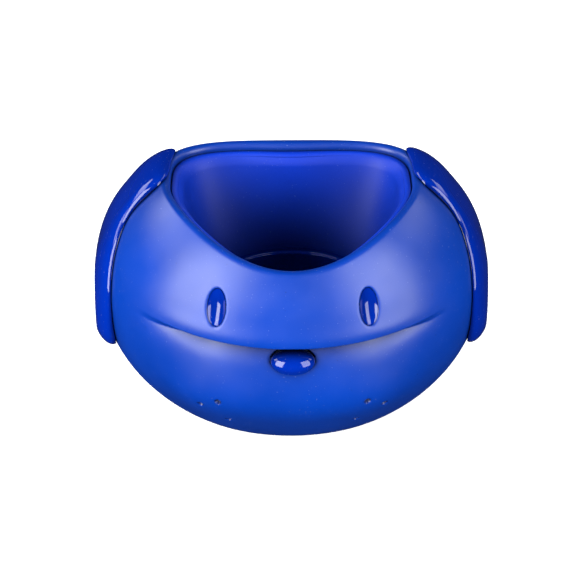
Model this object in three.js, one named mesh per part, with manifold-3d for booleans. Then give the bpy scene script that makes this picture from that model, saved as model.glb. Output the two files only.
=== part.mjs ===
// A child's potty in the shape of a puppy's head: a matte moulded shell with a face, glossy floppy
// ears screwed on from inside, glossy eye and nose inserts, and a glossy bowl that lifts straight out.
// Millimetres, +Z up, the face looks along -Y, the feet stand on Z = 0.
import * as THREE from 'three';
import { mergeVertices } from 'three/addons/utils/BufferGeometryUtils.js';
import Module from 'manifold-3d';

const wasm = await Module();
wasm.setup();

// ---- Driving dimensions ----------------------------------------------------------------------
// Heights called "level" are measured from the widest plane of the head, which is EQUATOR above the floor.
const FOOT_HEIGHT = 4;
const PLATE_THICK = 3;
const BASE_LEVEL = -99;
const EQUATOR = FOOT_HEIGHT + PLATE_THICK - BASE_LEVEL;

const HEAD_HALF_WIDTH = 144.5;
const HEAD_FRONT = 103;
const HEAD_BACK = 86;
const BACK_SQUARENESS = 3.7;
const HEAD_TOP = 118;
const HEAD_BOTTOM = 129.5;
const WALL = 3.2;

const RIM_LEVEL = 90;
const RIM_DIP = 25;
const RIM_DIP_POWER = 2.6;
const RIM_ROLL = 4.5;
const ROLL_START = 1.6;
const LIP_DEPTH = 4;
const LIP_WALL = 3;
const LEDGE_WIDTH = 4;

const BROW_LEVEL = 13;
const BROW_RISE = 13;
const BROW_FOLD = 6;
const BROW_DEPTH = 10;
const BROW_RIDGE = 1.2;
const RIDGE_OFFSET = 4;
const RIDGE_REACH = 8;
const SHELF_LENGTH = 12;
const MUZZLE_BULGE = 4;
const MUZZLE_LEVEL = -30;
const MUZZLE_REACH = 38;
const CREASE_FADE = [0.42, 0.82];

const EYE_X = 54.4;
const EYE_LEVEL = 39.3;
const EYE_SIZE = [13.6, 28.6];
const EYE_DISH = 4;
const NOSE_LEVEL = -1;
const NOSE_SIZE = [32, 19.5];
const NOSE_DOME = 7.5;
const SOCKET_DEPTH = 5;
const SOCKET_WALL = 2.5;
const STEM_RADIUS = 2.5;
const FIT_GAP = 0.35;

const WHISKER_RADIUS = 2.75;
const WHISKER_SPOTS = [[52, -42], [64.5, -50], [46, -68]];

const WELL_HALF_WIDTH = 60;
const WELL_HALF_DEPTH = 51;
const WELL_Y = -13;
const WELL_LEVEL = 0;
const WELL_FLOOR = -34;
const BOWL_WALL = 2.5;
const BOWL_REST_GAP = 0.3;
const BOWL_LEDGE_GAP = 1.5;
const WALL_CURVE = 1.15;
const LIFT_GAP = 0.8;

const EAR_GAP = 0.5;
const EAR_THICK = 10.5;
const EAR_TOP_THICK = 4.5;
const EAR_THINNING = [-44, 15];
const EAR_ROOT_SWELL = 2.5;
const EAR_ROOT = [60, 88];
const EAR_OUTER_X = 147.5;
const EAR_MIDDLE = [8, 30];
const EAR_TOP_LEVEL = RIM_LEVEL - 3;
const EAR_SCREWS = [[8, 62], [-24, 2]];
const EAR_OUTLINE = [
  [-3, 89], [-12, 66], [-26, 45], [-37, 20], [-40, -8], [-32, -35],
  [-6, -43], [22, -37], [40, -14], [45, 20], [45, 60], [43, 88.5], [20, 94],
];

const PLATE_INSET = 4.5;
const FLANGE_WIDTH = 20;
const BASE_SCREW_SPOTS = [[64, -27], [-64, -27], [66, 36], [-66, 36]];
const FOOT_SPOTS = [[40, -38], [-40, -38], [40, 34], [-40, 34]];
const FOOT_RADIUS = 9;
const BOSS_RADIUS = 4.5;
const BOSS_HEIGHT = 14;
const SCREW_RADIUS = 1.75;
const SCREW_CLEARANCE = 2.2;
const SCREW_HEAD_RADIUS = 3.5;
const SCREW_HEAD_HEIGHT = 2;
const SCREW_SEAT_GAP = 1;
const SCREW_BORE_GAP = 0.2;
const EAR_SCREW_LENGTH = 7.5;
const BASE_SCREW_LENGTH = 14;
const PART_GAP = 0.3;
const SCREW_SEAT = WALL + SCREW_SEAT_GAP;

const AROUND_SHELL = 60;
const AROUND_BOWL = 40;
const AROUND_EAR = 26;

// ---- Solids ----------------------------------------------------------------------------------
function toSolid(geometry, matrix = new THREE.Matrix4()) {
  const bare = geometry.clone().applyMatrix4(matrix);
  bare.deleteAttribute('normal');
  bare.deleteAttribute('uv');
  const merged = mergeVertices(bare, 1e-4);
  return new wasm.Manifold(new wasm.Mesh({
    numProp: 3,
    vertProperties: Float32Array.from(merged.attributes.position.array),
    triVerts: Uint32Array.from(merged.index.array),
  }));
}

function toGeometry(solid) {
  const mesh = solid.getMesh();
  const geometry = new THREE.BufferGeometry();
  geometry.setAttribute('position', new THREE.BufferAttribute(new Float32Array(mesh.vertProperties), 3));
  geometry.setIndex(Array.from(mesh.triVerts));
  return geometry;
}

// A lathe whose profile changes with the angle: pointAt(angle, row) gives each vertex.
// The rows run from axis to axis, or close on themselves as a ring.
function loft(pointAt, rows, around, closed) {
  const profile = [];
  for (let row = 0; row < rows; row += 1) {
    const onAxis = !closed && (row === 0 || row === rows - 1);
    profile.push(new THREE.Vector2(onAxis ? 0 : 1, row));
  }
  if (closed) profile.push(profile[0].clone());
  const geometry = new THREE.LatheGeometry(profile, around);
  const position = geometry.attributes.position;
  const stride = profile.length;
  for (let i = 0; i < position.count; i += 1) {
    const angle = (2 * Math.PI * (Math.floor(i / stride) % around)) / around;
    const point = pointAt(angle, (i % stride) % rows);
    position.setXYZ(i, point.x, point.y, point.z);
  }
  return outward(geometry);
}

// Turns every triangle round if the closed surface has its faces pointing in.
function outward(geometry) {
  const position = geometry.attributes.position;
  const index = geometry.index;
  const [a, b, c] = [new THREE.Vector3(), new THREE.Vector3(), new THREE.Vector3()];
  let volume = 0;
  for (let i = 0; i < index.count; i += 3) {
    a.fromBufferAttribute(position, index.getX(i));
    b.fromBufferAttribute(position, index.getX(i + 1));
    c.fromBufferAttribute(position, index.getX(i + 2));
    volume += a.dot(b.cross(c));
  }
  if (volume > 0) return geometry;
  for (let i = 0; i < index.count; i += 3) {
    const first = index.getX(i);
    index.setX(i, index.getX(i + 1));
    index.setX(i + 1, first);
  }
  return geometry;
}

function ellipsePrism(width, height, from, to, segments = 28) {
  const shape = new THREE.Shape();
  shape.absellipse(0, 0, width / 2, height / 2, 0, 2 * Math.PI, false, 0);
  const prism = new THREE.ExtrudeGeometry(shape, {
    depth: to - from, bevelEnabled: false, curveSegments: segments,
  });
  return prism.translate(0, 0, from);
}

function post(radius, from, to, segments = 14) {
  return new THREE.CylinderGeometry(radius, radius, to - from, segments)
    .rotateX(Math.PI / 2)
    .translate(0, 0, (from + to) / 2);
}

// ---- The head's outer skin ---------------------------------------------------------------------
const smooth = (from, to, value) => THREE.MathUtils.smoothstep(value, from, to);

// Radius of the head's plan outline at an angle, before the height takes it in.
function planRadius(angle) {
  const [across, along] = [Math.cos(angle), Math.sin(angle)];
  const n = along < 0 ? 2 : BACK_SQUARENESS;
  const depth = along < 0 ? HEAD_FRONT : HEAD_BACK;
  return (Math.abs(across / HEAD_HALF_WIDTH) ** n + Math.abs(along / depth) ** n) ** (-1 / n);
}

function heightFactor(level) {
  const reach = level > 0 ? HEAD_TOP : HEAD_BOTTOM;
  return Math.sqrt(1 - (level / reach) ** 2);
}

const frontness = (angle) => Math.max(0, -Math.sin(angle));
const rimLevel = (angle) => RIM_LEVEL - RIM_DIP * frontness(angle) ** RIM_DIP_POWER;

// The brow overhangs a crease, and the muzzle rolls out below it; both fade towards the ears.
function faceOffset(angle, level) {
  const side = Math.abs(planRadius(angle) * Math.cos(angle)) / HEAD_HALF_WIDTH;
  const fade = frontness(angle) > 0 ? 1 - smooth(CREASE_FADE[0], CREASE_FADE[1], side) : 0;
  if (fade === 0) return 0;
  const below = BROW_LEVEL + BROW_RISE * side ** 2 - level;
  const fold = smooth(0, BROW_FOLD, below);
  const shelf = (1 + Math.max(0, below - BROW_FOLD) / SHELF_LENGTH) ** -2;
  const ridge = BROW_RIDGE * Math.exp(-(((below + RIDGE_OFFSET) / RIDGE_REACH) ** 2));
  const muzzle = MUZZLE_BULGE * Math.exp(-(((level - MUZZLE_LEVEL) / MUZZLE_REACH) ** 2));
  return fade * (ridge + muzzle - BROW_DEPTH * fold * shelf);
}

const skinRadius = (angle, level) => planRadius(angle) * heightFactor(level) + faceOffset(angle, level);

// Outward normal of the skin within the upright plane at this angle, as [radial, upward].
function sectionNormal(angle, level) {
  const slope = skinRadius(angle, level + 0.5) - skinRadius(angle, level - 0.5);
  const length = Math.hypot(1, slope);
  return [1 / length, -slope / length];
}

// The rim rolls over from the skin to an upright inner lip: centre of the roll and where it starts.
function rimRoll(angle) {
  const start = rimLevel(angle) - ROLL_START;
  const [out, up] = sectionNormal(angle, start);
  return {
    start,
    turn: Math.atan2(up, out),
    radius: skinRadius(angle, start) - RIM_ROLL * out,
    level: start - RIM_ROLL * up,
  };
}

function atAngle(angle, radius, level) {
  return new THREE.Vector3(radius * Math.cos(angle), radius * Math.sin(angle), level + EQUATOR);
}

// A point on the skin at a level, or past the start of the rim roll at that distance along the roll.
function skinPoint(angle, level) {
  const roll = rimRoll(angle);
  if (level <= roll.start) return atAngle(angle, skinRadius(angle, level), level);
  const turn = roll.turn + (level - roll.start) / RIM_ROLL;
  const radius = roll.radius + RIM_ROLL * Math.cos(turn);
  return atAngle(angle, radius, roll.level + RIM_ROLL * Math.sin(turn));
}

function skinNormal(angle, level) {
  const across = skinPoint(angle + 0.01, level).sub(skinPoint(angle - 0.01, level));
  const upward = skinPoint(angle, level + 0.3).sub(skinPoint(angle, level - 0.3));
  return across.cross(upward).normalize();
}

// The angle at which the skin has this sideways or forward position at a level.
function angleAtX(x, level) {
  const share = x / (HEAD_HALF_WIDTH * heightFactor(level));
  return -Math.atan2(HEAD_FRONT * Math.sqrt(1 - share ** 2), HEAD_HALF_WIDTH * share);
}

function angleAtY(y, level) {
  const take = heightFactor(level);
  const n = y < 0 ? 2 : BACK_SQUARENESS;
  const depth = y < 0 ? HEAD_FRONT : HEAD_BACK;
  const x = HEAD_HALF_WIDTH * take * (1 - Math.abs(y / (depth * take)) ** n) ** (1 / n);
  return Math.atan2(y, x);
}

// A frame on the skin: its Z points out of the head and its Y runs up the skin.
function skinFrame(angle, level) {
  const out = skinNormal(angle, level);
  const right = new THREE.Vector3(0, 0, 1).cross(out).normalize();
  const frame = new THREE.Matrix4().makeBasis(right, out.clone().cross(right), out);
  return frame.setPosition(skinPoint(angle, level));
}

const eyeFrames = [-1, 1].map((side) => skinFrame(angleAtX(side * EYE_X, EYE_LEVEL), EYE_LEVEL));
const noseFrame = skinFrame(-Math.PI / 2, NOSE_LEVEL);

// ---- Head shell --------------------------------------------------------------------------------
// Rows of the skin: shares of the way from the base to the brow, and from the brow to the rim.
const ROWS_BELOW = [0, 0.06, 0.17, 0.3, 0.43, 0.55, 0.66, 0.76, 0.84, 0.9, 0.945, 0.972];
const ROWS_ABOVE = [0, 0.05, 0.15, 0.3, 0.47, 0.65, 0.83, 1];
const ROLL_STEPS = 5;

function skinLevels(angle) {
  const side = Math.abs(planRadius(angle) * Math.cos(angle)) / HEAD_HALF_WIDTH;
  const brow = BROW_LEVEL + BROW_RISE * side ** 2;
  const top = rimRoll(angle).start;
  const below = ROWS_BELOW.map((share) => BASE_LEVEL + share * (brow - BASE_LEVEL));
  const above = ROWS_ABOVE.map((share) => brow + share * (top - brow));
  return [...below, ...above];
}

function shellSection(angle) {
  const levels = skinLevels(angle);
  const section = levels.map((level) => [skinRadius(angle, level), level]);
  const roll = rimRoll(angle);
  for (let step = 1; step <= ROLL_STEPS; step += 1) {
    const turn = roll.turn + ((Math.PI - roll.turn) * step) / ROLL_STEPS;
    section.push([roll.radius + RIM_ROLL * Math.cos(turn), roll.level + RIM_ROLL * Math.sin(turn)]);
  }
  const lip = roll.radius - RIM_ROLL;
  const ledge = roll.level - LIP_DEPTH;
  section.push([lip, ledge], [lip - LEDGE_WIDTH, ledge], [lip - LEDGE_WIDTH, ledge - LIP_WALL]);
  section.push([lip + LIP_WALL, ledge - LIP_WALL], [lip + LIP_WALL, roll.level]);
  const inside = levels.filter((_, row) => row % 2 === 1 || row > 9).reverse();
  for (const level of inside.slice(1, -1)) {
    const [out, up] = sectionNormal(angle, level);
    section.push([skinRadius(angle, level) - WALL * out, level - WALL * up]);
  }
  const base = skinRadius(angle, BASE_LEVEL);
  const top = BASE_LEVEL + WALL;
  section.push([base - WALL - 1, top], [base - FLANGE_WIDTH, top], [base - FLANGE_WIDTH, BASE_LEVEL]);
  return section;
}

function loftSections(sectionAt, around, closed) {
  const sections = new Map();
  const at = (angle) => {
    if (!sections.has(angle)) sections.set(angle, sectionAt(angle));
    return sections.get(angle);
  };
  const rows = at(0).length;
  return loft((angle, row) => atAngle(angle, ...at(angle)[row]), rows, around, closed);
}

function baseBoss([x, y]) {
  const place = new THREE.Matrix4().makeTranslation(x, y, EQUATOR + BASE_LEVEL);
  return {
    body: toSolid(post(BOSS_RADIUS, 0.5, BOSS_HEIGHT), place),
    bore: toSolid(post(SCREW_RADIUS + SCREW_BORE_GAP, -1, BOSS_HEIGHT + 1, 10), place),
  };
}

// An oval socket behind the skin: a cup with a stem hole in its floor.
function socket([width, height], frame) {
  const cup = [width + 2 * SOCKET_WALL, height + 2 * SOCKET_WALL];
  const [gapWidth, gapHeight] = [width + 2 * FIT_GAP, height + 2 * FIT_GAP];
  return {
    body: toSolid(ellipsePrism(...cup, -SOCKET_DEPTH - SOCKET_WALL, -2, 10), frame),
    pocket: toSolid(ellipsePrism(gapWidth, gapHeight, -SOCKET_DEPTH, 12, 10), frame),
    stemHole: toSolid(post(STEM_RADIUS + FIT_GAP, -SOCKET_DEPTH - 9, 0, 12), frame),
  };
}

function headShell() {
  let shell = toSolid(loftSections(shellSection, AROUND_SHELL, true));
  const sockets = [...eyeFrames.map((frame) => socket(EYE_SIZE, frame)), socket(NOSE_SIZE, noseFrame)];
  const bosses = BASE_SCREW_SPOTS.map(baseBoss);
  for (const { body } of [...sockets, ...bosses]) shell = shell.add(body);
  for (const { pocket, stemHole } of sockets) shell = shell.subtract(pocket).subtract(stemHole);
  for (const { bore } of bosses) shell = shell.subtract(bore);
  for (const side of [-1, 1]) {
    for (const [x, level] of WHISKER_SPOTS) {
      const dimple = new THREE.SphereGeometry(WHISKER_RADIUS, 10, 6);
      shell = shell.subtract(toSolid(dimple, skinFrame(angleAtX(side * x, level), level)));
    }
    for (const spot of EAR_SCREWS) {
      shell = shell.subtract(toSolid(post(SCREW_CLEARANCE, -12, 12, 10), earScrewFrame(side, spot)));
    }
  }
  return toGeometry(shell);
}

// ---- Bowl --------------------------------------------------------------------------------------
const BOWL_DROPS = [0.08, 0.25, 0.5, 0.75, 0.93];

function bowlPoints(angle) {
  const roll = rimRoll(angle);
  const lip = roll.radius - RIM_ROLL;
  const ledge = roll.level - LIP_DEPTH + BOWL_REST_GAP;
  const edge = lip - LEDGE_WIDTH - BOWL_LEDGE_GAP;
  // A point of the oval well, drawn in from its edge by the inset.
  const well = (inset, level) => {
    const x = (WELL_HALF_WIDTH - inset) * Math.cos(angle);
    const y = WELL_Y + (WELL_HALF_DEPTH - inset) * Math.sin(angle);
    return new THREE.Vector3(x, y, level + EQUATOR);
  };
  const floorMiddle = (level) => new THREE.Vector3(0, WELL_Y, level + EQUATOR);
  // A wall point, some of the way down from the collar to the edge of the well.
  const wall = (share, inset) => {
    const level = THREE.MathUtils.lerp(ledge, WELL_LEVEL, share);
    const upper = atAngle(angle, edge - inset, level);
    return upper.lerp(well(inset - BOWL_WALL, level), share ** WALL_CURVE);
  };
  return [
    floorMiddle(WELL_FLOOR),
    well(14, WELL_FLOOR),
    well(6, WELL_FLOOR + 3),
    well(3, WELL_FLOOR + 10),
    well(1.5, WELL_LEVEL - 1.5),
    well(0, WELL_LEVEL),
    ...BOWL_DROPS.map((share) => wall(share, BOWL_WALL)).reverse(),
    atAngle(angle, edge - 1.2, ledge - 1),
    atAngle(angle, edge + 2, ledge + 2),
    atAngle(angle, lip - LIFT_GAP, ledge + BOWL_WALL),
    atAngle(angle, lip - LIFT_GAP, ledge),
    atAngle(angle, edge, ledge),
    ...BOWL_DROPS.map((share) => wall(share, 0)),
    well(-BOWL_WALL, WELL_LEVEL - 2),
    well(0.5, WELL_FLOOR + 9),
    well(4, WELL_FLOOR),
    well(13, WELL_FLOOR - BOWL_WALL),
    floorMiddle(WELL_FLOOR - BOWL_WALL),
  ];
}

function innerBowl() {
  const rows = bowlPoints(0).length;
  return loft((angle, row) => bowlPoints(angle)[row], rows, AROUND_BOWL, false);
}

// ---- Ears --------------------------------------------------------------------------------------
// Rings of the ear: [share of the outline, share of the thickness], from its back to its front.
// The back starts inside the skin, and the head is then cut away from it.
const EAR_RINGS = [
  [0, -0.4], [0.5, -0.4], [1, -0.4], [1, 0.45], [0.97, 0.75], [0.9, 0.94],
  [0.8, 1], [0.6, 1], [0.35, 1], [0, 1],
];

const earOutline = new THREE.CatmullRomCurve3(
  EAR_OUTLINE.map(([y, level]) => new THREE.Vector3(y, level, 0)), true, 'centripetal',
);
const earMiddle = new THREE.Vector3(...EAR_MIDDLE, 0);

function earPoint(side, angle, [spread, rise]) {
  const spot = earOutline.getPoint(angle / (2 * Math.PI)).lerp(earMiddle, 1 - spread);
  const around = angleAtY(spot.x, Math.min(spot.y, EAR_TOP_LEVEL));
  const slab = THREE.MathUtils.lerp(EAR_THICK, EAR_TOP_THICK, smooth(...EAR_THINNING, spot.y));
  const thick = slab + EAR_ROOT_SWELL * smooth(...EAR_ROOT, spot.y);
  const point = skinPoint(around, spot.y);
  point.addScaledVector(skinNormal(around, spot.y), EAR_GAP + thick * rise);
  point.x = Math.min(point.x, EAR_OUTER_X);
  return point.setX(side * point.x);
}

function earScrewFrame(side, [y, level]) {
  const around = angleAtY(y, level);
  return skinFrame(side > 0 ? around : Math.PI - around, level);
}

// The whole head as one block, grown by the gap that the ears keep to it.
function headBlock() {
  const sectionAt = (angle) => {
    const roll = rimRoll(angle);
    const section = [[0, BASE_LEVEL]];
    for (const level of skinLevels(angle)) {
      const [out, up] = sectionNormal(angle, level);
      section.push([skinRadius(angle, level) + EAR_GAP * out, level + EAR_GAP * up]);
    }
    for (let step = 1; step <= ROLL_STEPS; step += 1) {
      const turn = roll.turn + ((Math.PI - roll.turn) * step) / ROLL_STEPS;
      const reach = RIM_ROLL + EAR_GAP;
      section.push([roll.radius + reach * Math.cos(turn), roll.level + reach * Math.sin(turn)]);
    }
    section.push([roll.radius / 2, roll.level], [0, RIM_LEVEL - LIP_DEPTH]);
    return section;
  };
  return toSolid(loftSections(sectionAt, AROUND_SHELL, false));
}

function ear(side, head) {
  const slab = loft((angle, row) => earPoint(side, angle, EAR_RINGS[row]), EAR_RINGS.length, AROUND_EAR, false);
  const boreEnd = EAR_SCREW_LENGTH - SCREW_SEAT + 0.5;
  const bore = post(SCREW_RADIUS + SCREW_BORE_GAP, -2, boreEnd, 10);
  let solid = toSolid(slab).subtract(head);
  for (const spot of EAR_SCREWS) {
    solid = solid.subtract(toSolid(bore, earScrewFrame(side, spot)));
  }
  return toGeometry(solid);
}

// ---- Small parts -------------------------------------------------------------------------------
function eyeInsert(frame) {
  const plug = toSolid(ellipsePrism(...EYE_SIZE, -SOCKET_DEPTH + 0.3, -1.1, 10));
  const stem = toSolid(post(STEM_RADIUS, -SOCKET_DEPTH - 6, -SOCKET_DEPTH + 1, 12));
  const dish = new THREE.SphereGeometry(1, 16, 8).scale(
    EYE_SIZE[0] / 2 - 1, EYE_SIZE[1] / 2 - 1, EYE_DISH - 1.2,
  );
  const solid = plug.add(stem).subtract(toSolid(dish.translate(0, 0, -1)));
  return toGeometry(solid).applyMatrix4(frame);
}

function noseInsert(frame) {
  const [width, height] = NOSE_SIZE;
  const dome = new THREE.SphereGeometry(1, 16, 8).scale(width / 2, height / 2, NOSE_DOME + 1);
  const skirt = ellipsePrism(width, height, -SOCKET_DEPTH + 0.3, -1, 10);
  const below = new THREE.BoxGeometry(60, 60, 20).translate(0, 0, -11.5);
  const stem = toSolid(post(STEM_RADIUS, -SOCKET_DEPTH - 6, -SOCKET_DEPTH + 1, 12));
  const solid = toSolid(dome).translate([0, 0, -1]).subtract(toSolid(below));
  return toGeometry(solid.add(toSolid(skirt)).add(stem)).applyMatrix4(frame);
}

// A pan-head screw: its head starts at Z = 0 and the shank runs up along +Z.
function screw(length) {
  const profile = [
    [0, -SCREW_HEAD_HEIGHT], [SCREW_HEAD_RADIUS * 0.7, -SCREW_HEAD_HEIGHT],
    [SCREW_HEAD_RADIUS, -SCREW_HEAD_HEIGHT * 0.5], [SCREW_HEAD_RADIUS, 0],
    [SCREW_RADIUS, 0], [SCREW_RADIUS, length - 1.5], [0, length],
  ].map(([radius, z]) => new THREE.Vector2(radius, z));
  return outward(new THREE.LatheGeometry(profile, 12).rotateX(Math.PI / 2));
}

function footPad() {
  const top = FOOT_HEIGHT - PART_GAP;
  const profile = [
    [0, 0], [FOOT_RADIUS - 1, 0], [FOOT_RADIUS, 1], [FOOT_RADIUS, top], [0, top],
  ].map(([radius, z]) => new THREE.Vector2(radius, z));
  return outward(new THREE.LatheGeometry(profile, 20).rotateX(Math.PI / 2));
}

function basePlate() {
  const outline = [];
  for (let step = 0; step < AROUND_SHELL; step += 1) {
    const angle = (2 * Math.PI * step) / AROUND_SHELL;
    const radius = skinRadius(angle, BASE_LEVEL) - PLATE_INSET;
    outline.push(new THREE.Vector2(radius * Math.cos(angle), radius * Math.sin(angle)));
  }
  const shape = new THREE.Shape(outline);
  for (const [x, y] of BASE_SCREW_SPOTS) {
    const hole = new THREE.Path();
    hole.absarc(x, y, SCREW_CLEARANCE, 0, 2 * Math.PI, true);
    shape.holes.push(hole);
  }
  return new THREE.ExtrudeGeometry(shape, {
    depth: PLATE_THICK - PART_GAP, bevelEnabled: false, curveSegments: 5,
  }).translate(0, 0, FOOT_HEIGHT);
}

// ---- Assembly ----------------------------------------------------------------------------------
const group = new THREE.Group();

function addPart(name, geometry, look) {
  const mesh = new THREE.Mesh(geometry, new THREE.MeshStandardMaterial(look));
  mesh.name = name;
  group.add(mesh);
  return mesh;
}

const matteBlue = { color: '#0a3fd0', roughness: 0.5, metalness: 0 };
const glossBlue = { color: '#0836c8', roughness: 0.1, metalness: 0 };
const plateBlue = { color: '#0a2f9c', roughness: 0.6, metalness: 0 };
const steel = { color: '#b8bcc2', roughness: 0.35, metalness: 1 };
const padGrey = { color: '#2b2d33', roughness: 0.85, metalness: 0 };

addPart('head_shell', headShell(), matteBlue);
addPart('inner_bowl', innerBowl(), glossBlue);
const block = headBlock();
for (const [side, name] of [[-1, 'left'], [1, 'right']]) {
  addPart(`${name}_ear`, ear(side, block), glossBlue);
  addPart(`${name}_eye`, eyeInsert(eyeFrames[side < 0 ? 0 : 1]), glossBlue);
  EAR_SCREWS.forEach((spot, index) => {
    const place = earScrewFrame(side, spot);
    const inside = new THREE.Matrix4().makeTranslation(0, 0, -SCREW_SEAT);
    addPart(`${name}_ear_screw_${index + 1}`, screw(EAR_SCREW_LENGTH), steel).applyMatrix4(place.multiply(inside));
  });
}
addPart('nose', noseInsert(noseFrame), glossBlue);
addPart('base_plate', basePlate(), plateBlue);
BASE_SCREW_SPOTS.forEach(([x, y], index) => {
  addPart(`base_screw_${index + 1}`, screw(BASE_SCREW_LENGTH), steel).position.set(x, y, FOOT_HEIGHT - PART_GAP);
});
FOOT_SPOTS.forEach(([x, y], index) => {
  addPart(`foot_pad_${index + 1}`, footPad(), padGrey).position.set(x, y, 0);
});

// The origin is under the middle of the whole object.
const extent = new THREE.Box3().setFromObject(group);
group.position.y = -(extent.min.y + extent.max.y) / 2;

export default group;
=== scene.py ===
"""The looks of a puppy-face child's potty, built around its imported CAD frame.

Every shape is worked out in millimetres about the head's own axis and widest plane, and to_frame()
moves it into the frame, in metres. The formulas and most driving dimensions are the CAD model's.
The few that were fitted to the picture and differ from the CAD model stand in a group of their own.
"""
import copy
import math

import bmesh
import bpy
import numpy as np
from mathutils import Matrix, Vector


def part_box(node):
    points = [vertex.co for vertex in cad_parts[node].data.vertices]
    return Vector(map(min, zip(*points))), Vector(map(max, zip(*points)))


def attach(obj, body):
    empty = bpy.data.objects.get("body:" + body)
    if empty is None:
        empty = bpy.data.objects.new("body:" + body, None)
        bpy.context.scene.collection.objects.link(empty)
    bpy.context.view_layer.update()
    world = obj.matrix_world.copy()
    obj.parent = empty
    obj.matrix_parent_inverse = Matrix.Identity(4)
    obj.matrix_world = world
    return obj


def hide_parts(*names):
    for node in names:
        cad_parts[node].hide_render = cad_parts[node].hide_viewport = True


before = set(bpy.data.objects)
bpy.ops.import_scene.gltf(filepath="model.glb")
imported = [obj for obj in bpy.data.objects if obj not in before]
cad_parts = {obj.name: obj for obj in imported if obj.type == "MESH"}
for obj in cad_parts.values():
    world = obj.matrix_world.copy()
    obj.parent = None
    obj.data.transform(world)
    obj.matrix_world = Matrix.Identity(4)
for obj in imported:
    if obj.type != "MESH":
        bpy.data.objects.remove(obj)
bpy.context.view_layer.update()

MM = 0.001
PI = math.pi

# ---- Driving dimensions of the head, in millimetres ----------------------------------------------
BASE_LEVEL = -99
HALF_WIDTH = 144.5
FRONT = 103
BACK = 86
BACK_SQUARENESS = 3.7
TOP = 118
BOTTOM = 129.5
WALL = 3.2

RIM_LEVEL = 90
RIM_DIP = 25
RIM_DIP_POWER = 2.6
RIM_ROLL = 4.5
ROLL_START = 1.6
LIP_DEPTH = 4
LIP_WALL = 3
LEDGE_WIDTH = 4

BROW_LEVEL = 13
BROW_RISE = 13
BROW_FOLD = 6
BROW_RIDGE = 1.2
RIDGE_OFFSET = 4
RIDGE_REACH = 8
CREASE_FADE = (0.42, 0.82)

EYE_X = 54.4
EYE_LEVEL = 39.3
EYE_SIZE = (13.6, 28.6)
EYE_DISH = 4
NOSE_LEVEL = -1
NOSE_SIZE = (32, 19.5)
SOCKET_DEPTH = 5
STEM_RADIUS = 2.5

WHISKER_RADIUS = 2.75
WHISKER_DEPTH = 3
WHISKER_SPOTS = ((52, -42), (64.5, -50), (46, -68))

WELL_HALF_WIDTH = 60
WELL_HALF_DEPTH = 51
WELL_Y = -13
WELL_LEVEL = 0
WELL_FLOOR = -34
BOWL_WALL = 2.5
BOWL_REST_GAP = 0.3
BOWL_LEDGE_GAP = 1.5
WALL_CURVE = 1.15

EAR_GAP = 0.5
EAR_THICK = 10.5
EAR_TOP_THICK = 4.5
EAR_THINNING = (-44, 15)
EAR_ROOT_SWELL = 2.5
EAR_ROOT = (60, 88)
EAR_OUTER_X = 147.5
EAR_TOP_LEVEL = RIM_LEVEL - 3
EAR_SCREWS = ((8, 62), (-24, 2))
EAR_MIDDLE = (8, 30)
EAR_OUTLINE = (
    (-3, 89), (-12, 66), (-26, 45), (-37, 20), (-40, -8), (-32, -35),
    (-6, -43), (22, -37), (40, -14), (45, 20), (45, 60), (43, 88.5), (20, 94),
)

PLATE_INSET = 4.5
FLANGE_WIDTH = 20

# ---- Dimensions fitted to the picture, which differ from the CAD model's or are not in it ---------
BROW_DEPTH = 10.5
SHELF_LENGTH = 22
MUZZLE_BULGE = 7
MUZZLE_LEVEL = -45
MUZZLE_REACH = 26
NOSE_DOME = 6.4
NOSE_TILT = math.radians(34)
NOSE_PROUD = 1.8
SOCKET_CUT = 5.5
SOCKET_EASE = 0.5
LIFT_GAP = 0.4
EAR_EDGE = 0.24

SHELL_LOW, SHELL_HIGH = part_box("head_shell")
EQUATOR = SHELL_LOW.z / MM - BASE_LEVEL
AXIS_Y = SHELL_HIGH.y / MM - BACK


def to_frame(points):
    """Head millimetres to frame metres."""
    return (np.asarray(points, float) + (0, AXIS_Y, EQUATOR)) * MM


# ---- The head's outer skin, for arrays of angles and levels ---------------------------------------
def smooth(low, high, value):
    share = np.clip((value - low) / (high - low), 0, 1)
    return share * share * (3 - 2 * share)


def plan_radius(angle):
    across, along = np.cos(angle), np.sin(angle)
    n = np.where(along < 0, 2.0, BACK_SQUARENESS)
    depth = np.where(along < 0, FRONT, BACK)
    return (np.abs(across / HALF_WIDTH) ** n + np.abs(along / depth) ** n) ** (-1 / n)


def height_factor(level):
    return np.sqrt(1 - (level / np.where(level > 0, TOP, BOTTOM)) ** 2)


def frontness(angle):
    return np.maximum(0, -np.sin(angle))


def rim_level(angle):
    return RIM_LEVEL - RIM_DIP * frontness(angle) ** RIM_DIP_POWER


def sideness(angle):
    return np.abs(plan_radius(angle) * np.cos(angle)) / HALF_WIDTH


def brow_level(angle):
    return BROW_LEVEL + BROW_RISE * sideness(angle) ** 2


def face_offset(angle, level):
    """The overhanging brow, the crease under it and the muzzle that rolls out below."""
    fade = np.where(frontness(angle) > 0, 1 - smooth(*CREASE_FADE, sideness(angle)), 0)
    below = brow_level(angle) - level
    fold = smooth(0, BROW_FOLD, below)
    shelf = (1 + np.maximum(0, below - BROW_FOLD) / SHELF_LENGTH) ** -2
    ridge = BROW_RIDGE * np.exp(-(((below + RIDGE_OFFSET) / RIDGE_REACH) ** 2))
    muzzle = MUZZLE_BULGE * np.exp(-(((level - MUZZLE_LEVEL) / MUZZLE_REACH) ** 2))
    return fade * (ridge + muzzle - BROW_DEPTH * fold * shelf)


def skin_radius(angle, level):
    return plan_radius(angle) * height_factor(level) + face_offset(angle, level)


def section_normal(angle, level):
    slope = skin_radius(angle, level + 0.5) - skin_radius(angle, level - 0.5)
    length = np.hypot(1, slope)
    return 1 / length, -slope / length


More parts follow.
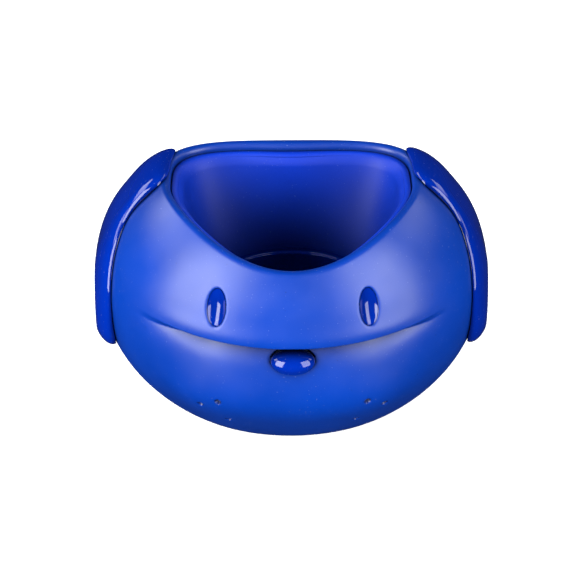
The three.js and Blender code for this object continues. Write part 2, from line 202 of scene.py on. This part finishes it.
def rim_roll(angle):
    """Where the rim's roll starts on the skin, its first turn, and its centre."""
    start = rim_level(angle) - ROLL_START
    out, up = section_normal(angle, start)
    radius = skin_radius(angle, start) - RIM_ROLL * out
    return start, np.arctan2(up, out), radius, start - RIM_ROLL * up


def at_angle(angle, radius, level):
    angle, radius, level = np.broadcast_arrays(angle, radius, level)
    return np.stack([radius * np.cos(angle), radius * np.sin(angle), level], -1)


def skin_point(angle, level):
    start, turn, radius, centre = rim_roll(angle)
    turned = turn + (level - start) / RIM_ROLL
    rolled = at_angle(angle, radius + RIM_ROLL * np.cos(turned), centre + RIM_ROLL * np.sin(turned))
    flat = at_angle(angle, skin_radius(angle, np.minimum(level, start)), level)
    return np.where((level <= start)[..., None], flat, rolled)


def skin_normal(angle, level):
    across = skin_point(angle + 0.01, level) - skin_point(angle - 0.01, level)
    upward = skin_point(angle, level + 0.3) - skin_point(angle, level - 0.3)
    normal = np.cross(across, upward)
    return normal / np.linalg.norm(normal, axis=-1, keepdims=True)


def angle_at_x(x, level):
    share = x / (HALF_WIDTH * height_factor(np.float64(level)))
    return -math.atan2(FRONT * math.sqrt(1 - share**2), HALF_WIDTH * share)


def angle_at_y(y, level):
    take = height_factor(level)
    n = np.where(y < 0, 2.0, BACK_SQUARENESS)
    depth = np.where(y < 0, FRONT, BACK)
    x = HALF_WIDTH * take * (1 - np.abs(y / (depth * take)) ** n) ** (1 / n)
    return np.arctan2(y, x)


class SkinFrame:
    """A place on the skin: local Z points out of the head and local Y runs up it."""

    def __init__(self, angle, level):
        angle, level = np.float64(angle), np.float64(level)
        self.origin = skin_point(angle, level)
        out = skin_normal(angle, level)
        right = np.cross((0, 0, 1), out)
        right /= np.linalg.norm(right)
        self.axes = np.array([right, np.cross(out, right), out])
        self.sag = self.fit_sag(angle, level)

    def fit_sag(self, angle, level, reach=9):
        """How the skin falls away from the tangent plane, as a quadratic in local X and Y."""
        turns = angle + np.linspace(-0.08, 0.08, 9)
        levels = level + np.linspace(-reach, reach, 9)
        u, v, w = self.to_local(skin_point(*np.meshgrid(turns, levels))).reshape(-1, 3).T
        terms = np.stack([u * u, u * v, v * v], -1)
        return np.linalg.lstsq(terms, w, rcond=None)[0]

    def tilted(self, turn):
        """The same place, with its face turned up by an angle."""
        place = copy.copy(self)
        right, up, out = self.axes
        lean = (math.cos(turn), math.sin(turn))
        place.axes = np.array([right, up * lean[0] - out * lean[1], out * lean[0] + up * lean[1]])
        return place

    def to_local(self, points):
        return (points - self.origin) @ self.axes.T

    def to_head(self, points):
        return self.origin + points @ self.axes

    def skin_height(self, u, v):
        return np.stack([u * u, u * v, v * v], -1) @ self.sag


EYES = [SkinFrame(angle_at_x(side * EYE_X, EYE_LEVEL), EYE_LEVEL) for side in (-1, 1)]
NOSE = SkinFrame(-PI / 2, NOSE_LEVEL)
SOCKETS = ((EYES[0], EYE_SIZE), (EYES[1], EYE_SIZE), (NOSE, NOSE_SIZE))
WHISKERS = [
    SkinFrame(angle_at_x(side * x, level), level) for side in (-1, 1) for x, level in WHISKER_SPOTS
]


# ---- Mesh helpers ---------------------------------------------------------------------------------
def graded(*stretches):
    """Values from each stretch's start to its end, in that many steps, joined into one run."""
    runs = [np.linspace(start, end, steps, endpoint=False) for start, end, steps in stretches]
    return np.concatenate([*runs, [stretches[-1][1]]])


def fillet(rows, radii, steps=5):
    """Rounds the rows named in radii: each becomes a short curve between its neighbours."""
    result = []
    for index, row in enumerate(rows):
        if index not in radii:
            result.append(row)
            continue
        sides = []
        for other in (rows[index - 1], rows[(index + 1) % len(rows)]):
            way = other - row
            length = np.linalg.norm(way, axis=-1, keepdims=True)
            sides.append(row + way / length * np.minimum(radii[index], length * 0.48))
        for share in np.linspace(0, 1, steps + 1):
            first = sides[0] * (1 - share) + row * share
            second = row * (1 - share) + sides[1] * share
            result.append(first * (1 - share) + second * share)
    return result


def mesh_piece(name, vertices, faces, material, body, replaced=(), sharp=40):
    mesh = bpy.data.meshes.new(name)
    mesh.from_pydata(vertices, [], faces)
    work = bmesh.new()
    work.from_mesh(mesh)
    bmesh.ops.recalc_face_normals(work, faces=work.faces)
    work.to_mesh(mesh)
    work.free()
    mesh.shade_smooth()
    mesh.set_sharp_from_angle(angle=math.radians(sharp))
    piece = bpy.data.objects.new(name, mesh)
    bpy.context.scene.collection.objects.link(piece)
    mesh.materials.append(material)
    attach(piece, body)
    if replaced:
        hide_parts(*replaced)
    return piece


def loft_faces(rows, columns, ring, start=0):
    """Quads of a grid that closes round its columns, and round its rows too when ring is true."""
    faces = []
    for row in range(rows if ring else rows - 1):
        after = (row + 1) % rows
        for column in range(columns):
            beside = (column + 1) % columns
            faces.append((
                start + row * columns + column, start + row * columns + beside,
                start + after * columns + beside, start + after * columns + column,
            ))
    return faces


def loft(rows, ring=False):
    """Vertices and faces of a body made of rows of points; an open run is closed by a fan at each end."""
    grid = np.array(rows)
    count, columns = grid.shape[:2]
    vertices = to_frame(grid.reshape(-1, 3))
    faces = loft_faces(count, columns, ring)
    if not ring:
        ends = to_frame([grid[0].mean(0), grid[-1].mean(0)])
        vertices = np.vstack([vertices, ends])
        for column in range(columns):
            beside = (column + 1) % columns
            faces.append((len(vertices) - 2, beside, column))
            last = (count - 1) * columns
            faces.append((len(vertices) - 1, last + column, last + beside))
    return vertices.tolist(), faces


# ---- Materials ------------------------------------------------------------------------------------
class Material:
    """A Principled material with helpers for the procedural nodes around it."""

    def __init__(self, name):
        self.material = bpy.data.materials.new(name)
        self.material.use_nodes = True
        self.tree = self.material.node_tree
        self.shader = self.tree.nodes["Principled BSDF"]
        self.place = self.node("ShaderNodeTexCoord").outputs["Object"]

    def node(self, kind, **settings):
        made = self.tree.nodes.new(kind)
        for key, value in settings.items():
            setattr(made, key, value)
        return made

    def link(self, source, target):
        self.tree.links.new(source, target)

    def noise(self, scale, detail=2.0, roughness=0.5):
        made = self.node("ShaderNodeTexNoise")
        made.inputs["Scale"].default_value = scale
        made.inputs["Detail"].default_value = detail
        made.inputs["Roughness"].default_value = roughness
        self.link(self.place, made.inputs["Vector"])
        return made.outputs["Fac"]

    def spread(self, source, low, high, to_low, to_high):
        made = self.node("ShaderNodeMapRange", clamp=True)
        for key, value in (("From Min", low), ("From Max", high), ("To Min", to_low), ("To Max", to_high)):
            made.inputs[key].default_value = value
        self.link(source, made.inputs["Value"])
        return made.outputs["Result"]

    def mix(self, factor, first, second):
        made = self.node("ShaderNodeMix", data_type="RGBA")
        self.link(factor, made.inputs["Factor"])
        for key, value in (("A", first), ("B", second)):
            socket = next(s for s in made.inputs if s.name == key and s.type == "RGBA")
            if isinstance(value, tuple):
                socket.default_value = (*value, 1)
            else:
                self.link(value, socket)
        return next(s for s in made.outputs if s.type == "RGBA")

    def bump(self, source, distance, strength=1.0, after=None):
        made = self.node("ShaderNodeBump")
        made.inputs["Distance"].default_value = distance
        made.inputs["Strength"].default_value = strength
        self.link(source, made.inputs["Height"])
        if after is not None:
            self.link(after, made.inputs["Normal"])
        return made.outputs["Normal"]

    def shaded_hollows(self, colour, reach, deepest, power=1.0):
        """Deepens the colour in folds and hollows, where light is lost between close walls."""
        made = self.node("ShaderNodeAmbientOcclusion", samples=8)
        made.inputs["Distance"].default_value = reach
        shaped = self.node("ShaderNodeMath", operation="POWER")
        shaped.inputs[1].default_value = power
        self.link(made.outputs["AO"], shaped.inputs[0])
        return self.mix(shaped.outputs[0], deepest, colour)

    def finish(self, colour, roughness, normal):
        self.link(colour, self.shader.inputs["Base Color"])
        self.link(roughness, self.shader.inputs["Roughness"])
        self.link(normal, self.shader.inputs["Normal"])
        return self.material


def matte_plastic(name, deep, light, roughness, hollow_reach):
    """Moulded plastic with a fine eroded texture, faint flow clouds, specks of dust and painted shade in its
    hollows.
    """
    made = Material(name)
    clouds = made.spread(made.noise(14, 3), 0.35, 0.65, 0, 1)
    colour = made.mix(clouds, deep, light)
    specks = made.spread(made.noise(900, 1), 0.75, 0.775, 0, 0.3)
    colour = made.mix(specks, colour, (0.35, 0.42, 0.72))
    pits = made.spread(made.noise(420, 2), 0.24, 0.27, 0.5, 0)
    colour = made.mix(pits, colour, tuple(0.35 * c for c in deep))
    # Painted shade: the colour darkens towards near-black in folds, creases and hollows.
    colour = made.shaded_hollows(colour, hollow_reach, (0, 0.0005, 0.012), 1.6)
    rough = made.spread(made.noise(60, 4), 0.3, 0.7, roughness - 0.035, roughness + 0.035)
    grain = made.bump(made.noise(3200, 2), 0.00003, 0.5)
    swell = made.bump(made.noise(28, 1), 0.00012, 0.35, after=grain)
    return made.finish(colour, rough, swell)


SATIN_FADE = 0.006
SATIN_ROUGHNESS = 0.42


def gloss_plastic(name, deep, light, roughness, hollow_reach, gleam=0.5, satin_above=0):
    """Polished moulded plastic with a slight ripple, the odd speck and painted shade in its hollows, satin
    above a given height.
    """
    made = Material(name)
    clouds = made.spread(made.noise(11, 2), 0.35, 0.65, 0, 1)
    colour = made.mix(clouds, deep, light)
    specks = made.spread(made.noise(800, 1), 0.745, 0.765, 0, 0.3)
    colour = made.mix(specks, colour, (0.3, 0.38, 0.7))
    # Painted shade: the colour darkens towards near-black in folds, seams and hollows.
    colour = made.shaded_hollows(colour, hollow_reach, (0, 0.0002, 0.004), 2.0)
    made.shader.inputs["Specular IOR Level"].default_value = gleam
    rough = made.spread(made.noise(45, 3), 0.3, 0.7, roughness - 0.015, roughness + 0.03)
    if satin_above:
        height = made.node("ShaderNodeSeparateXYZ")
        made.link(made.place, height.inputs[0])
        satin = made.spread(height.outputs["Z"], satin_above, satin_above + SATIN_FADE, 0, SATIN_ROUGHNESS)
        total = made.node("ShaderNodeMath", operation="ADD")
        made.link(rough, total.inputs[0])
        made.link(satin, total.inputs[1])
        rough = total.outputs[0]
    ripple = made.bump(made.noise(55, 1), 0.00008, 0.25)
    return made.finish(colour, rough, ripple)


def plated_steel(name):
    """Zinc plating: grey-blue clouds and fine turning marks."""
    made = Material(name)
    made.shader.inputs["Metallic"].default_value = 1
    colour = made.mix(made.noise(300, 3), (0.42, 0.45, 0.5), (0.68, 0.7, 0.72))
    rough = made.spread(made.noise(900, 3), 0.3, 0.7, 0.25, 0.42)
    return made.finish(colour, rough, made.bump(made.noise(2600, 2), 0.00002, 0.4))


def soft_rubber(name):
    """Dark grey thermoplastic rubber with a dusty, grainy skin."""
    made = Material(name)
    colour = made.mix(made.noise(260, 4), (0.02, 0.022, 0.03), (0.055, 0.06, 0.07))
    rough = made.spread(made.noise(500, 2), 0.3, 0.7, 0.7, 0.88)
    return made.finish(colour, rough, made.bump(made.noise(2400, 3), 0.00005, 0.5))


FLOOR_GLOW = 0.7


def pale_floor_material():
    made = Material("pale_floor")
    made.shader.inputs["Emission Color"].default_value = (1, 1, 1, 1)
    made.shader.inputs["Emission Strength"].default_value = FLOOR_GLOW
    colour = made.mix(made.noise(2.5, 3), (0.86, 0.87, 0.88), (0.9, 0.9, 0.9))
    rough = made.spread(made.noise(6, 2), 0.3, 0.7, 0.75, 0.85)
    return made.finish(colour, rough, made.bump(made.noise(220, 2), 0.0001, 0.1))


SHELL_BLUE = matte_plastic("shell_blue", (0.0, 0.030, 0.27), (0.0, 0.036, 0.32), 0.35, 0.03)
BASE_BLUE = matte_plastic("base_blue", (0.001, 0.018, 0.16), (0.002, 0.022, 0.2), 0.55, 0.01)
GLOSS_BLUE = gloss_plastic("gloss_blue", (0.0, 0.016, 0.25), (0.0, 0.020, 0.30), 0.05, 0.015)
# The bowl's blue is lighter than the shell's: painted light inside the bowl. Its long hollow reach paints
# the shade deep in the bowl and well.
BOWL_BLUE = gloss_plastic(
    "bowl_blue", (0.0, 0.034, 0.50), (0.0, 0.042, 0.58), 0.07, 0.1, 0.3, (EQUATOR + WELL_LEVEL) * MM
)
STEEL = plated_steel("plated_steel")
RUBBER = soft_rubber("soft_rubber")


# ---- Head shell -----------------------------------------------------------------------------------
# Columns are closest at the nose and in the two bands with the eyes and whisker dimples.
SHELL_TURNS = graded(
    (0, 0.25 * PI, 60), (0.25 * PI, 0.75 * PI, 70), (0.75 * PI, PI, 60),
    (PI, 1.28 * PI, 70), (1.28 * PI, 1.38 * PI, 56), (1.38 * PI, 1.45 * PI, 24), (1.45 * PI, 1.55 * PI, 60),
    (1.55 * PI, 1.62 * PI, 24), (1.62 * PI, 1.72 * PI, 56), (1.72 * PI, 2 * PI, 70),
)[:-1]
ROWS_BELOW_BROW = graded((0, 0.2, 12), (0.2, 0.58, 66), (0.58, 0.74, 14), (0.74, 1, 58))
ROWS_ABOVE_BROW = graded((0, 0.74, 84), (0.74, 1, 16))
ROLL_STEPS = 16
OVAL_REACH = 25
FAR_AWAY = 99.0


def oval_distance(place, points, size):
    """Millimetres outside an oval's edge in a skin frame, measured along the spokes from its middle."""
    local = place.to_local(points)
    u, v = local[..., 0], local[..., 1]
    reach = np.hypot(u, v)
    share = np.hypot(u / (size[0] / 2), v / (size[1] / 2))
    near = np.abs(local[..., 2]) < OVAL_REACH
    return np.where(near, reach - reach / np.maximum(share, 1e-6), FAR_AWAY)


def dent(points):
    """Presses the sockets, with their soft edges, and the whisker dimples into the skin."""
    points = points.copy()
    for place, size in SOCKETS:
        away = oval_distance(place, points, size)
        push = SOCKET_CUT * (1 - smooth(-1.1, 0.3, away)) + SOCKET_EASE * (1 - smooth(-0.5, 2.4, away))
        points -= push[..., None] * place.axes[2]
    for place in WHISKERS:
        away = oval_distance(place, points, (2 * WHISKER_RADIUS,) * 2) + WHISKER_RADIUS
        push = WHISKER_DEPTH * (1 - smooth(WHISKER_RADIUS * 0.55, WHISKER_RADIUS * 1.05, away))
        points -= push[..., None] * place.axes[2]
    return points


def backed(points):
    """Carries the inner wall back behind the sockets, so that each one keeps a floor."""
    points = points.copy()
    for place, size in SOCKETS:
        away = oval_distance(place, points, size)
        push = (SOCKET_CUT + SOCKET_EASE) * (1 - smooth(2, 8, away))
        points -= push[..., None] * place.axes[2]
    return points


def shell_rows():
    angle = SHELL_TURNS
    start, turn, radius, centre = rim_roll(angle)
    brow = brow_level(angle)
    levels = [BASE_LEVEL + share * (brow - BASE_LEVEL) for share in ROWS_BELOW_BROW[:-1]]
    levels += [brow + share * (start - brow) for share in ROWS_ABOVE_BROW]
    outside = dent(np.array([at_angle(angle, skin_radius(angle, level), level) for level in levels]))
    rows = list(outside)
    for step in range(1, ROLL_STEPS + 1):
        turned = turn + (PI - turn) * step / ROLL_STEPS
        rows.append(at_angle(angle, radius + RIM_ROLL * np.cos(turned), centre + RIM_ROLL * np.sin(turned)))
    lip, ledge = radius - RIM_ROLL, centre - LIP_DEPTH
    inside = [
        at_angle(angle, lip, ledge),
        at_angle(angle, lip - LEDGE_WIDTH, ledge),
        at_angle(angle, lip - LEDGE_WIDTH, ledge - LIP_WALL),
        at_angle(angle, lip + LIP_WALL, ledge - LIP_WALL),
        at_angle(angle, lip + LIP_WALL, centre),
    ]
    for level in levels[-12:12:-6]:
        out, up = section_normal(angle, level)
        wall = at_angle(angle, skin_radius(angle, level) - WALL * out, level - WALL * up)
        inside.append(backed(wall))
    base = skin_radius(angle, np.float64(BASE_LEVEL))
    last = len(inside)
    inside += [
        at_angle(angle, base - WALL - 1, BASE_LEVEL + WALL),
        at_angle(angle, base - FLANGE_WIDTH, BASE_LEVEL + WALL),
        at_angle(angle, base - FLANGE_WIDTH, BASE_LEVEL),
        at_angle(angle, base - 1.2, BASE_LEVEL),
    ]
    radii = {0: 1.2, 1: 1.0, 2: 0.8, 3: 1.0, 4: 1.0, last: 1.5, last + 1: 0.8, last + 2: 0.6}
    return rows + fillet(inside, radii, 4)


def build_shell():
    vertices, faces = loft(shell_rows(), ring=True)
    return mesh_piece(
        "shell_moulding", vertices, faces, SHELL_BLUE, "head", ["head_shell"], sharp=60
    )


# ---- Bowl -----------------------------------------------------------------------------------------
def build_bowl():
    angle = np.linspace(0, 2 * PI, 240, endpoint=False)
    _, _, radius, centre = rim_roll(angle)
    lip, ledge = radius - RIM_ROLL, centre - LIP_DEPTH + BOWL_REST_GAP
    edge = lip - LEDGE_WIDTH - BOWL_LEDGE_GAP

    def well(inset, level):
        """A ring of the oval well, drawn in from its edge by the inset."""
        across = (WELL_HALF_WIDTH - inset) * np.cos(angle)
        along = WELL_Y + (WELL_HALF_DEPTH - inset) * np.sin(angle)
        return np.stack([across, along, np.broadcast_to(np.float64(level), across.shape)], -1)

    def wall(share, inset):
        level = ledge + (WELL_LEVEL - ledge) * share
        upper = at_angle(angle, edge - inset, level)
        lower = well(inset - BOWL_WALL, 0)
        lower[:, 2] = level
        return upper + (lower - upper) * share**WALL_CURVE

    drops = np.linspace(0.06, 0.985, 34)
    rows = [
        well(44, WELL_FLOOR), well(26, WELL_FLOOR), well(8, WELL_FLOOR), well(3, WELL_FLOOR + 10),
        well(1.5, WELL_LEVEL - 1.5), well(0, WELL_LEVEL),
        *[wall(share, BOWL_WALL) for share in drops[::-1]],
    ]
    collar = len(rows)
    rows += [
        at_angle(angle, edge + 1.2, ledge + 1.6),
        at_angle(angle, lip - LIFT_GAP, ledge + BOWL_WALL),
        at_angle(angle, lip - LIFT_GAP, ledge),
        at_angle(angle, edge, ledge),
        *[wall(share, 0) for share in drops],
        well(-BOWL_WALL, WELL_LEVEL - 2), well(0.5, WELL_FLOOR + 9),
        well(5, WELL_FLOOR - BOWL_WALL), well(26, WELL_FLOOR - BOWL_WALL),
        well(44, WELL_FLOOR - BOWL_WALL),
    ]
    last = len(rows) - 1
    radii = {2: 7, 4: 0.7, 5: 0.8, collar: 3.0, collar + 1: 1.1, collar + 2: 0.5, last - 2: 5}
    vertices, faces = loft(fillet(rows, radii, 6))
    return mesh_piece("bowl_moulding", vertices, faces, BOWL_BLUE, "bowl", ["inner_bowl"], sharp=70)


# ---- Ears -----------------------------------------------------------------------------------------
def closed_spline(points, count):
    """A centripetal Catmull-Rom curve through the points, closed, as evenly numbered samples."""
    points = np.array(points, float)
    total = len(points)
    samples = []
    for where in np.arange(count) * total / count:
        near = [points[(int(where) + offset) % total] for offset in (-1, 0, 1, 2)]
        steps = [np.linalg.norm(second - first) ** 0.5 for first, second in zip(near, near[1:])]
        k0, k1, k2, k3 = np.cumsum([0, *steps])
        at = k1 + (where - int(where)) * (k2 - k1)

        def between(first, second, low, high):
            return first + (second - first) * (at - low) / (high - low)

        a = between(near[0], near[1], k0, k1)
        b = between(near[1], near[2], k1, k2)
        c = between(near[2], near[3], k2, k3)
        samples.append(between(between(a, b, k0, k2), between(b, c, k1, k3), k1, k2))
    return np.array(samples)


def build_ear(side, name):
    outline = closed_spline(EAR_OUTLINE, 200)
    middle = np.array(EAR_MIDDLE, float)
    rings = [(spread, 0.0) for spread in np.linspace(0.03, 0.985, 16)]
    for turned in np.linspace(0, PI / 2, 12):
        rings.append((1 - EAR_EDGE * (1 - math.cos(turned)), 0.06 + 0.94 * math.sin(turned)))
    rings += [(spread, 1.0) for spread in np.linspace(0.98 - EAR_EDGE, 0.03, 22)]
    rows = []
    for spread, rise in rings:
        spot = middle + (outline - middle) * spread
        y, level = spot.T
        angle = angle_at_y(y, np.minimum(level, EAR_TOP_LEVEL))
        thick = EAR_THICK + (EAR_TOP_THICK - EAR_THICK) * smooth(*EAR_THINNING, level)
        thick = thick + EAR_ROOT_SWELL * smooth(*EAR_ROOT, level)
        points = skin_point(angle, level)
        points += skin_normal(angle, level) * (EAR_GAP + thick * rise)[:, None]
        points[:, 0] = np.minimum(points[:, 0], EAR_OUTER_X)
        rows.append(points * (side, 1, 1))
    vertices, faces = loft(rows)
    return mesh_piece(
        f"{name}_ear_moulding", vertices, faces, GLOSS_BLUE, "head", [f"{name}_ear"], sharp=60
    )


# ---- Face inserts ---------------------------------------------------------------------------------
def oval_rows(place, size, profile, columns=96, conform=True):
    """Rows of an oval lathe in a skin frame: profile is (share of the size, height) pairs."""
    turn = np.linspace(0, 2 * PI, columns, endpoint=False)
    rows = []
    for share, height in profile:
        u = size[0] / 2 * share * np.cos(turn)
        v = size[1] / 2 * share * np.sin(turn)
        w = np.full_like(u, height)
        if conform:
            w = w + place.skin_height(u, v)
        rows.append(place.to_head(np.stack([u, v, w], -1)))
    return rows


EYE_RECESS = 0.5
INSERT_CLEARANCE = 0.3


def build_eye(place, name):
    depth = EYE_DISH - 0.6
    dish = [(share, -EYE_RECESS - depth * (1 - share**2)) for share in np.linspace(0.02, 0.96, 26)]
    seat = -SOCKET_DEPTH + INSERT_CLEARANCE
    edge = [(0.985, -EYE_RECESS), (0.998, -0.75), (1.0, -1.2), (1.0, seat)]
    back = [(STEM_RADIUS / EYE_SIZE[0] * 2, seat), (0.1, -SOCKET_DEPTH + 0.2)]
    vertices, faces = loft(oval_rows(place, EYE_SIZE, dish + edge + back))
    return mesh_piece(
        f"{name}_eye_insert", vertices, faces, GLOSS_BLUE, "head", [f"{name}_eye"], sharp=60
    )


def build_nose():
    dome = [
        (math.sin(turned), -1 + (NOSE_DOME + 1) * math.cos(turned))
        for turned in np.linspace(0.02, PI / 2, 36)
    ]
    seat = -SOCKET_DEPTH + INSERT_CLEARANCE
    edge = [(1.0, seat), (0.2, seat)]
    place = NOSE.tilted(NOSE_TILT)
    place.origin = place.origin + NOSE.axes[2] * NOSE_PROUD
    vertices, faces = loft(oval_rows(place, NOSE_SIZE, dome + edge, 128, conform=False))
    return mesh_piece(
        "nose_insert", vertices, faces, GLOSS_BLUE, "head", ["nose"], sharp=60
    )


# ---- Base, feet and screws --------------------------------------------------------------------------
def build_base_plate():
    low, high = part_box("base_plate")
    bottom, top = low.z / MM - EQUATOR, high.z / MM - EQUATOR
    angle = np.linspace(0, 2 * PI, 240, endpoint=False)
    edge = skin_radius(angle, np.float64(BASE_LEVEL)) - PLATE_INSET
    rows = [
        at_angle(angle, edge * 0.05, bottom + 0.8),
        at_angle(angle, edge * 0.52, bottom + 0.8), at_angle(angle, edge * 0.54, bottom),
        at_angle(angle, edge - 6, bottom), at_angle(angle, edge, bottom), at_angle(angle, edge, top),
        at_angle(angle, edge - 3, top), at_angle(angle, edge * 0.05, top),
    ]
    vertices, faces = loft(fillet(rows, {1: 1.0, 2: 1.0, 4: 1.2, 5: 0.5}, 5))
    return mesh_piece(
        "base_cover", vertices, faces, BASE_BLUE, "head", ["base_plate"], sharp=50
    )


def lathe_rows(centre, axis, profile, columns):
    """Rows of a plain lathe about an axis through centre, in head millimetres."""
    axis = np.array(axis, float) / np.linalg.norm(axis)
    side = np.cross(axis, (0, 1, 0) if abs(axis[1]) < 0.9 else (1, 0, 0))
    side /= np.linalg.norm(side)
    other = np.cross(axis, side)
    turn = np.linspace(0, 2 * PI, columns, endpoint=False)[:, None]
    spoke = np.cos(turn) * side + np.sin(turn) * other
    return [centre + radius * spoke + height * axis for radius, height in profile]


def node_centre(node):
    low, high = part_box(node)
    return np.array((low + high) / 2) / MM - (0, AXIS_Y, EQUATOR)


def build_foot(index):
    node = f"foot_pad_{index}"
    low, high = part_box(node)
    radius, height = (high.x - low.x) / 2 / MM, (high.z - low.z) / MM
    grooves = []
    for reach in (radius * 0.3, radius * 0.55, radius * 0.8):
        grooves += [(reach - 0.5, 0), (reach - 0.3, 0.5), (reach + 0.3, 0.5), (reach + 0.5, 0)]
    profile = [(0.4, 0), *grooves, (radius - 1, 0), (radius, 1), (radius, height), (0.4, height)]
    centre = node_centre(node)
    centre[2] -= height / 2
    rows = lathe_rows(centre, (0, 0, 1), profile, 72)
    vertices, faces = loft(fillet(rows, {len(rows) - 4: 0.5, len(rows) - 3: 0.8}, 4))
    return mesh_piece(f"foot_{index}", vertices, faces, RUBBER, "head", [node], sharp=35)


SCREW_RADIUS = 1.75
HEAD_RADIUS = 3.5
HEAD_HEIGHT = 2.0
THREAD_PITCH = 1.25
THREAD_DEPTH = 0.35
STEPS_PER_TURN = 8
RECESS_DEPTH = 1.2
TIP_LENGTH = 1.6


def build_screw(node, seat, axis, length):
    """A pan-head screw with a cross recess and a coarse thread; seat is under its head."""
    columns = 48
    turn = np.linspace(0, 2 * PI, columns, endpoint=False)
    reach = np.linspace(0.1, 2.9, 15)
    crown = [(radius, -HEAD_HEIGHT + 0.35 * (radius / HEAD_RADIUS) ** 2) for radius in reach]
    side = [(3.3, -HEAD_HEIGHT + 0.65), (HEAD_RADIUS, -HEAD_HEIGHT + 1.15), (HEAD_RADIUS, -0.15)]
    under = [(HEAD_RADIUS - 0.15, 0), (SCREW_RADIUS, 0)]
    rows = lathe_rows(seat, axis, crown + side + under, columns)
    way = np.array(axis, float) / np.linalg.norm(axis)
    for row, (radius, _) in zip(rows, crown):
        u, v = radius * np.cos(turn), radius * np.sin(turn)
        arm = np.minimum(np.abs(u), np.abs(v))
        depth = RECESS_DEPTH * (1 - smooth(0.25, 0.6, arm)) * (1 - smooth(1.5, 2.1, np.full_like(u, radius)))
        row += depth[:, None] * way
    steps = int(length / THREAD_PITCH * STEPS_PER_TURN)
    for step in range(1, steps + 1):
        height = step * length / (steps + 1)
        phase = (turn / (2 * PI) - height / THREAD_PITCH) % 1
        taper = min(1.0, (length - height) / TIP_LENGTH)
        ring = SCREW_RADIUS * taper - THREAD_DEPTH * np.abs(2 * phase - 1) * taper
        spokes = lathe_rows(seat, axis, [(1, height)], columns)[0] - seat - height * way
        rows.append(seat + height * way + spokes * ring[:, None])
    rows.append(lathe_rows(seat, axis, [(0.1, length)], columns)[0])
    vertices, faces = loft(rows)
    return mesh_piece(f"{node}_detail", vertices, faces, STEEL, "head", [node], sharp=45)


def build_base_screws():
    for index in range(1, 5):
        node = f"base_screw_{index}"
        low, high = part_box(node)
        seat = node_centre(node)
        seat[2] = low.z / MM + HEAD_HEIGHT - EQUATOR
        build_screw(node, seat, (0, 0, 1), (high.z - low.z) / MM - HEAD_HEIGHT)


EAR_SCREW_LENGTH = 7.5
SCREW_SEAT = WALL + 1


def build_ear_screws(side, name):
    for index, (y, level) in enumerate(EAR_SCREWS, 1):
        angle = float(angle_at_y(np.float64(y), np.float64(level)))
        place = SkinFrame(angle if side > 0 else PI - angle, level)
        seat = place.origin - place.axes[2] * SCREW_SEAT
        build_screw(f"{name}_ear_screw_{index}", seat, place.axes[2], EAR_SCREW_LENGTH)


# ---- Stage ------------------------------------------------------------------------------------------
CAMERA_AZIMUTH = math.radians(-0.6)
CAMERA_ELEVATION = math.radians(36)
CAMERA_DISTANCE = 1.5
CAMERA_TARGET = Vector((-0.001, AXIS_Y * MM, EQUATOR * MM - 0.010))
CAMERA_LENS = 122.3
LIGHT_TARGET = Vector((0, 0, 0.12))
FLOOR_HALF = 4.0
WORLD_STRENGTH = 0.025


def aim(thing, target):
    thing.rotation_euler = (target - thing.location).to_track_quat("-Z", "Y").to_euler()


def direction(azimuth, elevation):
    flat = math.cos(elevation)
    return Vector((math.sin(azimuth) * flat, -math.cos(azimuth) * flat, math.sin(elevation)))


def build_camera():
    data = bpy.data.cameras.new("camera")
    data.lens = CAMERA_LENS
    camera = bpy.data.objects.new("camera", data)
    bpy.context.scene.collection.objects.link(camera)
    camera.location = CAMERA_TARGET + direction(CAMERA_AZIMUTH, CAMERA_ELEVATION) * CAMERA_DISTANCE
    aim(camera, CAMERA_TARGET)
    bpy.context.scene.camera = camera


def softbox(name, azimuth, elevation, distance, width, height, power):
    """A rectangular area light that faces the object: degrees, metres and watts."""
    data = bpy.data.lights.new(name, "AREA")
    data.shape = "RECTANGLE"
    data.size, data.size_y = width, height
    data.energy = power
    light = bpy.data.objects.new(name, data)
    bpy.context.scene.collection.objects.link(light)
    way = direction(math.radians(azimuth), math.radians(elevation))
    light.location = LIGHT_TARGET + way * distance
    aim(light, LIGHT_TARGET)
    return light


def build_floor():
    """A pale floor that the plastic neither mirrors nor gathers light from, and that casts nothing."""
    half = FLOOR_HALF
    corners = [(-half, -half, 0), (half, -half, 0), (half, half, 0), (-half, half, 0)]
    mesh = bpy.data.meshes.new("floor")
    mesh.from_pydata(corners, [], [(0, 1, 2, 3)])
    mesh.materials.append(pale_floor_material())
    floor = bpy.data.objects.new("floor", mesh)
    bpy.context.scene.collection.objects.link(floor)
    floor.visible_glossy = False
    floor.visible_diffuse = False
    floor.visible_shadow = False


def build_lights():
    softbox("left_softbox", -43, 14, 1.25, 0.75, 1.1, 27)
    softbox("left_side_softbox", -100, 34, 1.3, 1.2, 0.45, 9)
    softbox("right_softbox", 43, 14, 1.25, 0.75, 1.1, 18)
    softbox("right_side_softbox", 100, 34, 1.3, 1.0, 0.4, 4)
    unmirrored = (
        softbox("top_softbox", -10, 62, 1.5, 0.9, 0.5, 5),
        softbox("back_softbox", 165, 22, 1.5, 1.2, 0.8, 9),
        softbox("front_fill", 0, 5, 1.6, 1.6, 0.4, 5),
    )
    for light in unmirrored:
        light.visible_glossy = False


def build_world():
    world = bpy.data.worlds.new("studio")
    world.use_nodes = True
    background = world.node_tree.nodes["Background"]
    background.inputs["Color"].default_value = (0.8, 0.85, 1.0, 1)
    background.inputs["Strength"].default_value = WORLD_STRENGTH
    bpy.context.scene.world = world
    bpy.context.scene.view_settings.view_transform = "Standard"


# ---- Assembly ---------------------------------------------------------------------------------------
build_camera()
build_floor()
build_lights()
build_world()
build_shell()
build_bowl()
for side, name, eye in ((-1, "left", EYES[0]), (1, "right", EYES[1])):
    build_ear(side, name)
    build_eye(eye, name)
    build_ear_screws(side, name)
build_nose()
build_base_plate()
build_base_screws()
for index in range(1, 5):
    build_foot(index)
